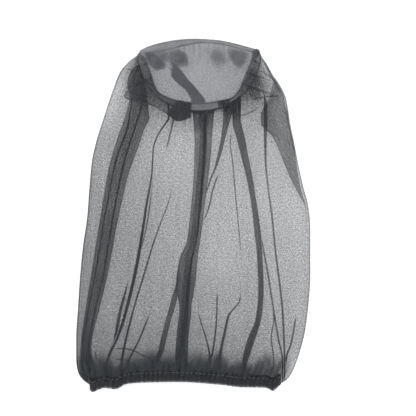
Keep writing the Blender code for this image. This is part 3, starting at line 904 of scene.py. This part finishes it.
# %% [markdown]
# ## The band
#
# A strip of the same cloth stands between the crown's rim and the net.  Squashed flat it shows
# only at the middle of the front and as a thin dark edge behind, so it is a ring that leans
# outwards.
# Its colour is painted darker than the crown's, which is painted shade.


# %% Band
def crown_rim(turn):
    """A point of the crown's rim at an angle round it."""
    x = CROWN_X + 0.0900 * np.cos(turn)
    side = np.abs(np.sin(turn)) ** 1.3
    behind = np.sin(turn) > 0
    y = np.where(behind, CROWN_BACK(x), CROWN_FRONT(x))
    z = mix(0.0120, np.where(behind, 0.0080, 0.0325), side)
    return x, y, z


def band_place(drop, turn):
    x0, y0, z0 = crown_rim(turn)
    x1 = CROWN_X + BAND_HALF_WIDTH * np.cos(turn)
    y1 = np.where(np.sin(turn) > 0, back_edge(x1), BAND_Y + BAND_FRONT_DEPTH * np.sin(turn))
    z1 = band_height(turn)
    return mix(x0, x1, drop), mix(y0, y1, drop), mix(z0 - 0.0012, z1, max(drop, 0.0) ** 0.6)


def build_band(columns=240, rows=12):
    turns = np.linspace(0, 2 * math.pi, columns, endpoint=False)
    grid = []
    for drop in np.linspace(-0.12, 1.0, rows):
        x, y, z = band_place(drop, turns)
        pucker = 0.0004 * np.sin(turns * 71) * drop + 0.0003 * np.sin(turns * 43 + 1) * (1 - drop)
        bared = np.exp(-(((x - FRONT_MIDDLE) / 0.035) ** 2))
        # edges and cover feed bunching, so crown_finish also darkens the band's colour where they
        # are high: painted shade along the band's edges.
        edges = 1.0 + 0.6 * (1 - ease(drop / 0.2)) + 1.5 * ease((drop - 0.78) / 0.2) * bared
        cover = edges * np.where(np.sin(turns) > 0, 0.62, mix(0.8, 1.0, bared))
        grid.append((x, y, z + pucker, turns * 0.075, drop * 0.022, cover))
    return sheet_object("crown_band_cloth", grid, shaded_band_material, closed=True)


crown_band = build_band()
print("band:", round(mesh_area(crown_band) * 1e4), "cm2")

# %% [markdown]
# ## The heading
#
# Above its seam the net is turned over and gathered, so two or more layers stand out round the
# crown as dark wings.  The gathers are knife pleats that run outwards from the band.  At the
# middle of the front the heading is open, with a square bunch on the left of the gap and a knotted
# one on the right.
# Their thread is also drawn darker than the open net's, which is painted shade.


# %% Heading wings
def by_share(stations, column=1, scale=1):
    """One column of marks (share along, ...) as a curve."""
    return Marked(*[(mark[0] * 1000, mark[column] * scale) for mark in stations])


def heading_wing(name, inner, outer, heights, pleats, closeness, fade):
    """A wing of doubled net between an inner and an outer line, pleated outwards from the band.

    inner and outer are marks (share along, x, y); pleats are (place along, half width) in
    millimetres, closeness is how much thread one layer holds, as marks along the wing, and fade
    is how much of it is lost towards the outer line.
    """
    inner_x, inner_y, outer_x, outer_y = (by_share(s, k) for s in (inner, outer) for k in (1, 2))
    rise, close = by_share(heights), by_share(closeness, scale=1000)
    length = pleats[-1][0] * MM + 0.006
    folds = []
    for place, half in pleats:
        outer_half = half * 1.1 if half > 3 else FOLD_GONE
        marks = (0, place, half * 0.8), (450, place, half), (1000, place + 0.6, outer_half)
        folds.append(Fold(*marks, closeness=1.0))
    counts = stretch_counts(folds, 0.0013, length)
    rows = []
    for v in np.linspace(-0.05, 1.0, 26):
        dense = np.linspace(0.0, 1.0, 400) * length
        u, lift, cover, turning, _ = walk_across(dense, np.full(400, v), folds, counts)
        share = np.clip(u, 0.0, 1.0)
        reach = v * (1 + 0.012 * np.sin(share * 37) + 0.008 * np.sin(share * 91 + 1))
        x = mix(inner_x(share), outer_x(share), reach)
        y = mix(inner_y(share), outer_y(share), reach)
        flute = ripple(share * length, v * 0.02, ((0.0078, 3.0, 0.6), (0.0125, -2.0, 0.5)))
        low = dome_height(x, y) + 0.0052 * ease(v * 3)
        z = mix(rise(share), low, ease(v)) + lift * 1.4 + 0.0008 * flute * (0.4 + 0.6 * v)
        z = np.maximum(z, dome_height(x, y) + 0.0034 * min(1.0, v * 4) + lift)
        faded = close(share) * cover * (1.45 - fade * ease(v * 1.9 - 0.3)) * (1 + 0.3 * turning)
        edged = 1 + 0.12 * ease((v - 0.95) / 0.04)
        bunching = faded * edged * (1 + 0.25 * np.clip(flute, -0.8, 1.0))
        # gather is 0.75 all over the wings, so their thread colour is drawn darker: painted shade
        # in the doubled heading, besides its real layers.
        rows.append((x, y, z, share * length * 1.6, v * 0.04, bunching, 0.75))
    return sheet_object(name, rows, heading_material)


LEFT_INNER = [
    (0.0, -80, 243), (0.15, -71, 232), (0.35, -64, 213), (0.5, -60, 197),
    (0.6, -53, 184), (0.72, -41, 176.5), (0.82, -28, 171.5), (0.9, -15, 168.5),
    (1.0, -1, 166.5),
]
LEFT_OUTER = [
    (0.0, -86, 241), (0.15, -90, 225), (0.35, -97, 203), (0.5, -104.5, 178),
    (0.6, -88, 171), (0.72, -69, 166), (0.82, -50, 160), (0.87, -36, 148),
    (0.94, -19, 139), (1.0, -1.5, 145),
]
LEFT_RISE = [(0.0, 13), (0.3, 20), (0.6, 28), (1.0, 32)]
LEFT_PLEATS = [(30, 1.8), (66, 1.2), (139, 5.0), (150, 4.5)]
LEFT_CLOSENESS = [
    (0.0, 0.6), (0.15, 0.8), (0.4, 1.8), (0.48, 3.1), (0.6, 2.6), (0.82, 1.9), (0.87, 4.2),
    (1.0, 5.0),
]
RIGHT_INNER = [
    (0.0, 38, 169), (0.12, 50, 171), (0.25, 59.5, 174), (0.38, 67, 181), (0.5, 73, 189),
    (0.62, 78, 199), (0.75, 82, 209), (0.87, 87, 224), (1.0, 95, 242),
]
RIGHT_OUTER = [
    (0.0, 39, 154), (0.12, 59, 152.5), (0.25, 64, 139), (0.38, 80, 143), (0.5, 99, 158),
    (0.62, 136.5, 179), (0.75, 131, 194), (0.87, 118, 211), (1.0, 101, 236),
]
RIGHT_RISE = [(0.0, 32), (0.4, 28), (0.7, 20), (1.0, 13)]
RIGHT_PLEATS = [(8, 5.0), (19, 5.0), (72, 1.3), (96, 1.0), (115, 1.2)]
RIGHT_CLOSENESS = [
    (0.0, 2.4), (0.15, 2.1), (0.3, 1.3), (0.5, 1.8), (0.65, 2.0), (0.8, 1.6), (1.0, 0.7)
]

heading_left = heading_wing(
    "heading_left_wing", LEFT_INNER, LEFT_OUTER, LEFT_RISE, LEFT_PLEATS, LEFT_CLOSENESS, 0.60
)
heading_right = heading_wing(
    "heading_right_wing", RIGHT_INNER, RIGHT_OUTER, RIGHT_RISE, RIGHT_PLEATS, RIGHT_CLOSENESS, 1.2
)
for wing in (heading_left, heading_right):
    print(wing.name, len(wing.data.polygons), "faces,", round(mesh_area(wing) * 1e4), "cm2")

# %% Pinched edges of the wings
LEFT_PINCHES = [
    ([(-105, 221), (-93, 219.5), (-80, 218), (-68, 218)], 0.8, 5.0),
    ([(-74, 205), (-69, 200), (-62, 195.5), (-56, 189)], 1.1, 9.0),
    ([(-105, 177), (-90, 172), (-72, 167.5), (-58, 163), (-46, 156), (-34, 149)], 0.9, 5.0),
    ([(-104, 184), (-88, 186), (-73, 178), (-60, 174)], 0.7, 4.0),
]
RIGHT_PINCHES = [
    ([(89, 173), (104, 176), (120, 178.5), (137, 180)], 0.9, 6.0),
    ([(99, 218), (111, 214), (121, 206), (129, 194), (136, 180)], 0.8, 4.0),
    ([(62, 152), (76, 149), (88, 153), (101, 162)], 0.7, 4.0),
    ([(78, 200), (88, 190), (97, 176), (101, 164)], 0.8, 5.0),
    ([(93, 226), (90, 210), (88, 196), (94, 182), (104, 170)], 7.0, 1.5),
    ([(96, 214), (99, 200), (97, 188)], 4.0, 1.5),
]
pinched(heading_left, LEFT_PINCHES, 6.6)
pinched(heading_right, RIGHT_PINCHES, 6.6)

# %% [markdown]
# ## The net tucked inside the crown
#
# The heading's raw edge is turned in under the crown.  Where it was bunched before sewing it makes
# darker patches that show through the thin crown cloth.  Each patch is a small rumpled leaf of the
# same net, thicker in the middle, and belongs to the wing on its side.


# %% Tucked leaves of net
def tucked_leaf(wing, corners, closeness, soft):
    """A leaf between four corners in millimetres, joined to its wing.  soft is its faded rim."""
    share = np.linspace(0.0, 1.0, 14)
    s, t = np.meshgrid(share, share)
    near = [(1 - s) * (1 - t), s * (1 - t), s * t, (1 - s) * t]
    x, y = (sum(n * corner[k] * MM for n, corner in zip(near, corners)) for k in (0, 1))
    u = (x - CROWN_LEFT) / (CROWN_RIGHT - CROWN_LEFT)
    back, front = CROWN_BACK(x), CROWN_FRONT(x)
    v = np.clip((y - back) / (front - back), 0.0, 1.0)
    below = 0.0030 + 0.0007 * np.sin(x * 420 + y * 230) + 0.0005 * np.sin(y * 610)
    z = crown_height(u, v) - below
    off_middle = (np.abs(2 * s - 1) ** 2.6 + np.abs(2 * t - 1) ** 2.6) ** (1 / 2.6)
    bunching = closeness * ease((1 - off_middle) / soft) + 0.02
    # gather 0.5 darkens the leaves' colour: painted shade under the crown, besides the real net.
    rows = [(*row, 0.5) for row in zip(x, y, z, x * 1.2, y, bunching)]
    join_to(wing, sheet_object("leaf", rows, heading_material))


LEFT_LEAVES = [
    (((-79, 250), (-58, 247), (-33, 222), (-60, 214)), 16.0, 0.50),
    (((-72, 252), (-36, 255), (-32, 224), (-60, 232)), 3.4, 0.60),
    (((-46, 250), (-14, 256), (-2, 230), (-32, 208)), 8.0, 0.80),
    (((-24, 250), (-7, 246), (-3, 220), (-20, 222)), 5.0, 0.50),
    (((-42, 228), (-38, 222), (-24, 208), (-28, 216)), 4.0, 0.60),
]
RIGHT_LEAVES = [
    (((46, 256), (92, 250), (80, 224), (66, 216)), 5.6, 0.55),
    (((18, 254), (48, 256), (62, 224), (26, 218)), 3.0, 0.90),
    (((91, 252), (105, 252), (102, 238), (90, 236)), 11.0, 0.40),
]
for leaves, wing in ((LEFT_LEAVES, heading_left), (RIGHT_LEAVES, heading_right)):
    for corners, leaf_closeness, soft in leaves:
        tucked_leaf(wing, corners, leaf_closeness, soft)
    print(wing.name, "with its leaves:", round(mesh_area(wing) * 1e4), "cm2")

# %% [markdown]
# ## The hem casing and its elastic
#
# The bottom of the tube is turned up into a casing, and the elastic in it draws the net into a
# dense ruffle.  Seen from above it is nearly black, with the two ends of the flattened loop as
# pointed corners.  The casing is one sheet folded lengthwise round the elastic, and it ripples as
# it goes round the loop.
# Its net is drawn darker than the rest of the tube, which is painted shade in the ruffle.

# %% Hem casing
CASING_THICK = 0.0042
LOOP_RADIUS = 0.0061
LOOP_Z = CASING_THICK + 0.0040
LOOP_STRAIGHT = HEM_RIGHT - HEM_LEFT - 2 * LOOP_RADIUS - CASING_THICK
LOOP_LENGTH = 2 * (LOOP_STRAIGHT + math.pi * LOOP_RADIUS)


def loop_place(along):
    """(x, z, outward x, outward z) on the flattened loop, a distance along it."""
    along = np.mod(along, LOOP_LENGTH)
    under = along >= LOOP_LENGTH / 2
    along = along - under * LOOP_LENGTH / 2
    way = np.where(under, -1.0, 1.0)
    turned = np.clip((along - LOOP_STRAIGHT) / LOOP_RADIUS, 0.0, math.pi)
    out_x, out_z = way * np.sin(turned), way * np.cos(turned)
    start = HEM_LEFT + LOOP_RADIUS + CASING_THICK / 2 + under * LOOP_STRAIGHT
    x = start + way * np.minimum(along, LOOP_STRAIGHT) + LOOP_RADIUS * out_x
    return x, LOOP_Z + LOOP_RADIUS * out_z, out_x, out_z


def hem_ring(name, section, columns, rows, ruffle, material, closeness, gather):
    """A sheet round the loop.  section(t) gives (up from the hem's edge, outward)."""
    along = np.linspace(0, LOOP_LENGTH, columns, endpoint=False)
    x, z, out_x, out_z = loop_place(along)
    wave = ripple(along, 0.0, ((LOOP_LENGTH / 88, 0, 0.7), (LOOP_LENGTH / 61, 0, 0.4)))
    tip = ease((np.abs((2 * x - HEM_LEFT - HEM_RIGHT) / (HEM_RIGHT - HEM_LEFT)) - 0.90) / 0.1)
    cover = closeness * (1 + 0.45 * np.clip(wave, -0.8, 1.0)) * (1 + 0.5 * tip)
    grid = []
    for t in np.linspace(0, 1, rows):
        up, out = section(t)
        push = out + ruffle * wave * (1 - 0.7 * tip)
        y = HEM_EDGE(x) + up * (1 + 0.06 * np.sin(along * 210) * (ruffle > 0))
        lifted = np.maximum(z + out_z * push * 0.8, 0.0004)
        grid.append((x + out_x * push, y, lifted, along * 1.4, t * 0.04, cover, gather))
    return sheet_object(name, grid, material, closed=True)


def casing_section(t):
    half = 0.0017
    ply = HEM_DEPTH - half
    around = t * (2 * ply + math.pi * half)
    if around < ply:
        return HEM_DEPTH - around, half
    if around > ply + math.pi * half:
        return half + around - ply - math.pi * half, -half
    angle = (around - ply) / half
    return half - half * math.sin(angle), half * math.cos(angle)


def elastic_section(t):
    return 0.0085 + (0.5 - t) * 0.0080, 0.00035 * math.sin(t * math.pi * 10)


# gather 0.9 darkens the casing's colour strongly in its finish: painted shade in the dense ruffle,
# besides the thick net.
hem_casing = hem_ring("hem_casing_net", casing_section, 640, 15, 0.0011, shaded_hem_material, 2.9, 0.9)
hem_elastic = hem_ring(
    "hem_elastic_band", elastic_section, 420, 31, 0.0, elastic_material, 1.0, 0.0
)
print("casing:", round(mesh_area(hem_casing) * 1e4), "cm2, round", round(LOOP_LENGTH, 3), "m")

# %% [markdown]
# ## The seam inside the tube
#
# The tube is closed by one seam down the middle of its upper side.  Its allowance, two raw edges
# overlocked together, lies folded to one side under the net and shows through as a darker strip.

# %% Centre seam allowance
SEAM_ROUTE = Marked(
    (-236, -17), (-209, -16.5), (-181, -14.5), (-140, -11), (-100, -8), (-71, -5), (-40, 2),
    (8, 8), (67, 14), (103, 16.4), (152, 17.5),
)
SEAM_HALF = 0.0055


def build_centre_seam(rows=120, columns=7):
    across = np.linspace(-1.0, 1.0, columns)
    cover = 1.9 + 1.2 * ease((np.abs(across) - 0.6) / 0.3)
    grid = []
    for y in np.linspace(0.150, -0.232, rows):
        x = SEAM_ROUTE(y) + across * SEAM_HALF
        curl = 0.0005 * across**2 * math.sin(y * 160) + 0.0003 * np.sin(y * 700 + across * 2)
        z = dome_height(x, np.full(columns, y)) - 0.0026 + curl
        # gather 0.2 darkens the allowance's colour a little: painted shade under the net.
        grid.append((x, y, z, across * SEAM_HALF, y, cover, 0.2))
    return sheet_object("centre_seam_allowance", grid, heading_material)


centre_seam = build_centre_seam()

# %% [markdown]
# ## Stitches
#
# A row of machine stitching is a row of short loops that rise out of one hole and dip into the
# next.  Each stitch here is its own small bent tube.  An overlocked or zigzag edge is one long
# thread that swings from side to side, so it is a single tube along a zigzag.


# %% Stitch tubes
UP = (0.0, 0.0, 1.0)


def tube_rings(centres, radius, sides=6, tapered=False):
    """Rings of points round a line of centres."""
    tangent = unit(np.gradient(centres, axis=0))
    side = unit(np.cross(tangent, UP + tangent[:, [1, 2, 0]] * 0.01))
    over = np.cross(side, tangent)
    turn = np.linspace(0, 2 * math.pi, sides, endpoint=False)[:, None]
    size = np.full(len(centres), radius)
    if tapered:
        size[[0, -1]] *= 0.35
    ring = side[:, None] * np.cos(turn) + over[:, None] * np.sin(turn)
    return centres[:, None] + ring * size[:, None, None]


def thread_object(name, tubes, material):
    """One mesh of many tubes with closed ends."""
    vertices, faces, cloth = [], [], []
    for rings in tubes:
        count, sides = rings.shape[:2]
        first = len(cloth)
        end = first + (count - 1) * sides
        vertices.append(rings.reshape(-1, 3))
        cloth += [(k * 0.0006, s * 0.0003) for k in range(count) for s in range(sides)]
        faces += (grid_faces(count, sides, True) + first).tolist()
        faces += [[*reversed(range(first, first + sides))], [*range(end, end + sides)]]
    obj = mesh_object(name, np.concatenate(vertices), faces, np.array(cloth), material)
    bm = bmesh.new()
    bm.from_mesh(obj.data)
    bmesh.ops.recalc_face_normals(bm, faces=bm.faces)
    bm.to_mesh(obj.data)
    bm.free()
    return obj


def read_off(at, run, path):
    """Points of a path where its stations, run, reach the values in at."""
    return np.stack([np.interp(at, run, path[:, i]) for i in range(3)], axis=1)


def spaced(path, step):
    """The path's points again, an even step apart."""
    run = np.concatenate([[0.0], np.cumsum(np.linalg.norm(np.diff(path, axis=0), axis=1))])
    return read_off(np.linspace(0.0, run[-1], max(2, int(run[-1] / step)) + 1), run, path)


def running_stitch(path, length, gap, radius, rise=0.0004):
    """Short loops along a path, each up out of the cloth and down again."""
    fine = spaced(path, 0.0004)
    step = np.linalg.norm(fine[1] - fine[0])
    long, pause = int(length / step), max(1, int(gap / step))
    tubes = []
    for start in range(0, len(fine) - long, long + pause):
        picks = fine[np.linspace(start, start + long, 6).astype(int)].copy()
        picks[:, 2] += rise * np.array([-0.6, 0.6, 1.0, 1.0, 0.6, -0.6])
        tubes.append(tube_rings(picks, radius, tapered=True))
    return tubes


def zigzag(path, swing, step, radius):
    """One thread that swings from side to side along a path."""
    fine = spaced(path, step)
    number = np.arange(len(fine))
    side = unit(np.cross(np.gradient(fine, axis=0), UP))
    swung = fine + side * swing * np.where(number % 2 == 0, 1.0, -1.0)[:, None]
    dense = read_off(np.arange(0, len(fine) - 1, 1 / 3), number, swung)
    dense[:, 2] += 0.0002 * np.cos(np.arange(len(dense)) * 2 * math.pi / 3)
    return [tube_rings(dense, radius, sides=5)]


# %% All the rows of stitching
ring_turns = np.linspace(0, 2 * math.pi, 361)


def on_crown(inset, turn, lift):
    """A point a little inside the crown's rim, lifted off it."""
    x, y, _ = crown_rim(turn)
    x = CROWN_X + (x - CROWN_X) * inset
    back, front = CROWN_BACK(x), CROWN_FRONT(x)
    centre_y = (back + front) / 2
    y = centre_y + (np.clip(y, front, back) - centre_y) * inset
    u = (x - CROWN_LEFT) / (CROWN_RIGHT - CROWN_LEFT)
    v = np.clip((y - back) / (front - back), 0, 1)
    return np.column_stack([x, y, crown_height(u, v) + lift])


def on_band(drop, turn, lift):
    """A point of the band, lifted outwards and up."""
    x, y, z = band_place(drop, turn)
    return np.column_stack([x + np.cos(turn) * lift, y + np.sin(turn) * lift, z + lift])


def stitched(name, path, length, gap, radius, material):
    return thread_object(name, running_stitch(path, length, gap, radius), material)


crown_topstitch = stitched(
    "crown_topstitch", on_crown(0.984, ring_turns, 0.0009), 0.0024, 0.0009, 0.00016, grey_thread
)
overlock = zigzag(on_crown(0.976, ring_turns, -0.0010), 0.0011, 0.0015, 0.00014)
crown_overlock = thread_object("crown_overlock_thread", overlock, grey_thread)
band_seam = stitched(
    "band_seam_stitch", on_band(0.93, ring_turns, 0.0007), 0.0028, 0.0008, 0.00030, dark_thread
)

seam_y = np.linspace(0.148, -0.230, 240)
seam_x = SEAM_ROUTE(seam_y)
seam_path = np.column_stack([seam_x - 0.0012, seam_y, dome_height(seam_x, seam_y) - 0.0012])
centre_seam_stitch = stitched(
    "centre_seam_stitch", seam_path, 0.0026, 0.0009, 0.00020, dark_thread
)

STITCH_OUT = 0.0036
hem_x, hem_z, hem_out_x, hem_out_z = loop_place(np.linspace(0, LOOP_LENGTH, 900))
hem_y = HEM_EDGE(hem_x) + HEM_DEPTH - 0.0030
stitch_z = np.maximum(hem_z + hem_out_z * STITCH_OUT, 0.0006)
hem_path = np.column_stack([hem_x + hem_out_x * STITCH_OUT, hem_y, stitch_z])
hem_stitch = stitched("hem_stitch", hem_path, 0.0046, 0.0026, 0.00032, pale_thread)

join_x = 0.060 + (np.arange(9) - 4) * 0.0011
join_z = np.full(9, LOOP_Z - LOOP_RADIUS - 0.0009)
join_path = np.column_stack([join_x, HEM_EDGE(join_x) + 0.0085, join_z])
elastic_join = thread_object(
    "elastic_join_zigzag", zigzag(join_path, 0.0028, 0.0011, 0.00018), dark_thread
)
for row in (crown_topstitch, crown_overlock, band_seam, centre_seam_stitch, hem_stitch):
    print(row.name, len(row.data.polygons), "faces")

# %% [markdown]
# ## Joining the looks to the frame
#
# Each finished sheet stands for the plain solid that the frame holds in its place.  The veil is
# limp cloth sewn to limp cloth, so nothing in it turns on a joint, and every piece rides on the
# one body.

# %% Ride and replace, with a slot listed for each piece
STANDS_FOR = [
    (net_veil, "net", ("net_front", "net_back")),
    (crown_panel, "crown_cloth", ("crown_panel",)),
    (crown_band, "crown_cloth", ("crown_band",)),
    (heading_left, "net", ("net_heading_left",)),
    (heading_right, "net", ("net_heading_right",)),
    (centre_seam, "net", ("centre_seam",)),
    (hem_casing, "net", ("hem_casing",)),
    (hem_elastic, "elastic", ("hem_elastic",)),
    (crown_topstitch, "thread", ("crown_stitching",)),
    (crown_overlock, "thread", ("crown_overlock",)),
    (band_seam, "thread", ("band_stitching",)),
    (centre_seam_stitch, "thread", ("centre_seam_thread",)),
    (hem_stitch, "thread", ("hem_stitching",)),
    (elastic_join, "thread", ("elastic_join_thread",)),
]
for piece, slot, nodes in STANDS_FOR:
    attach(piece, "root")
    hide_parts(*nodes)
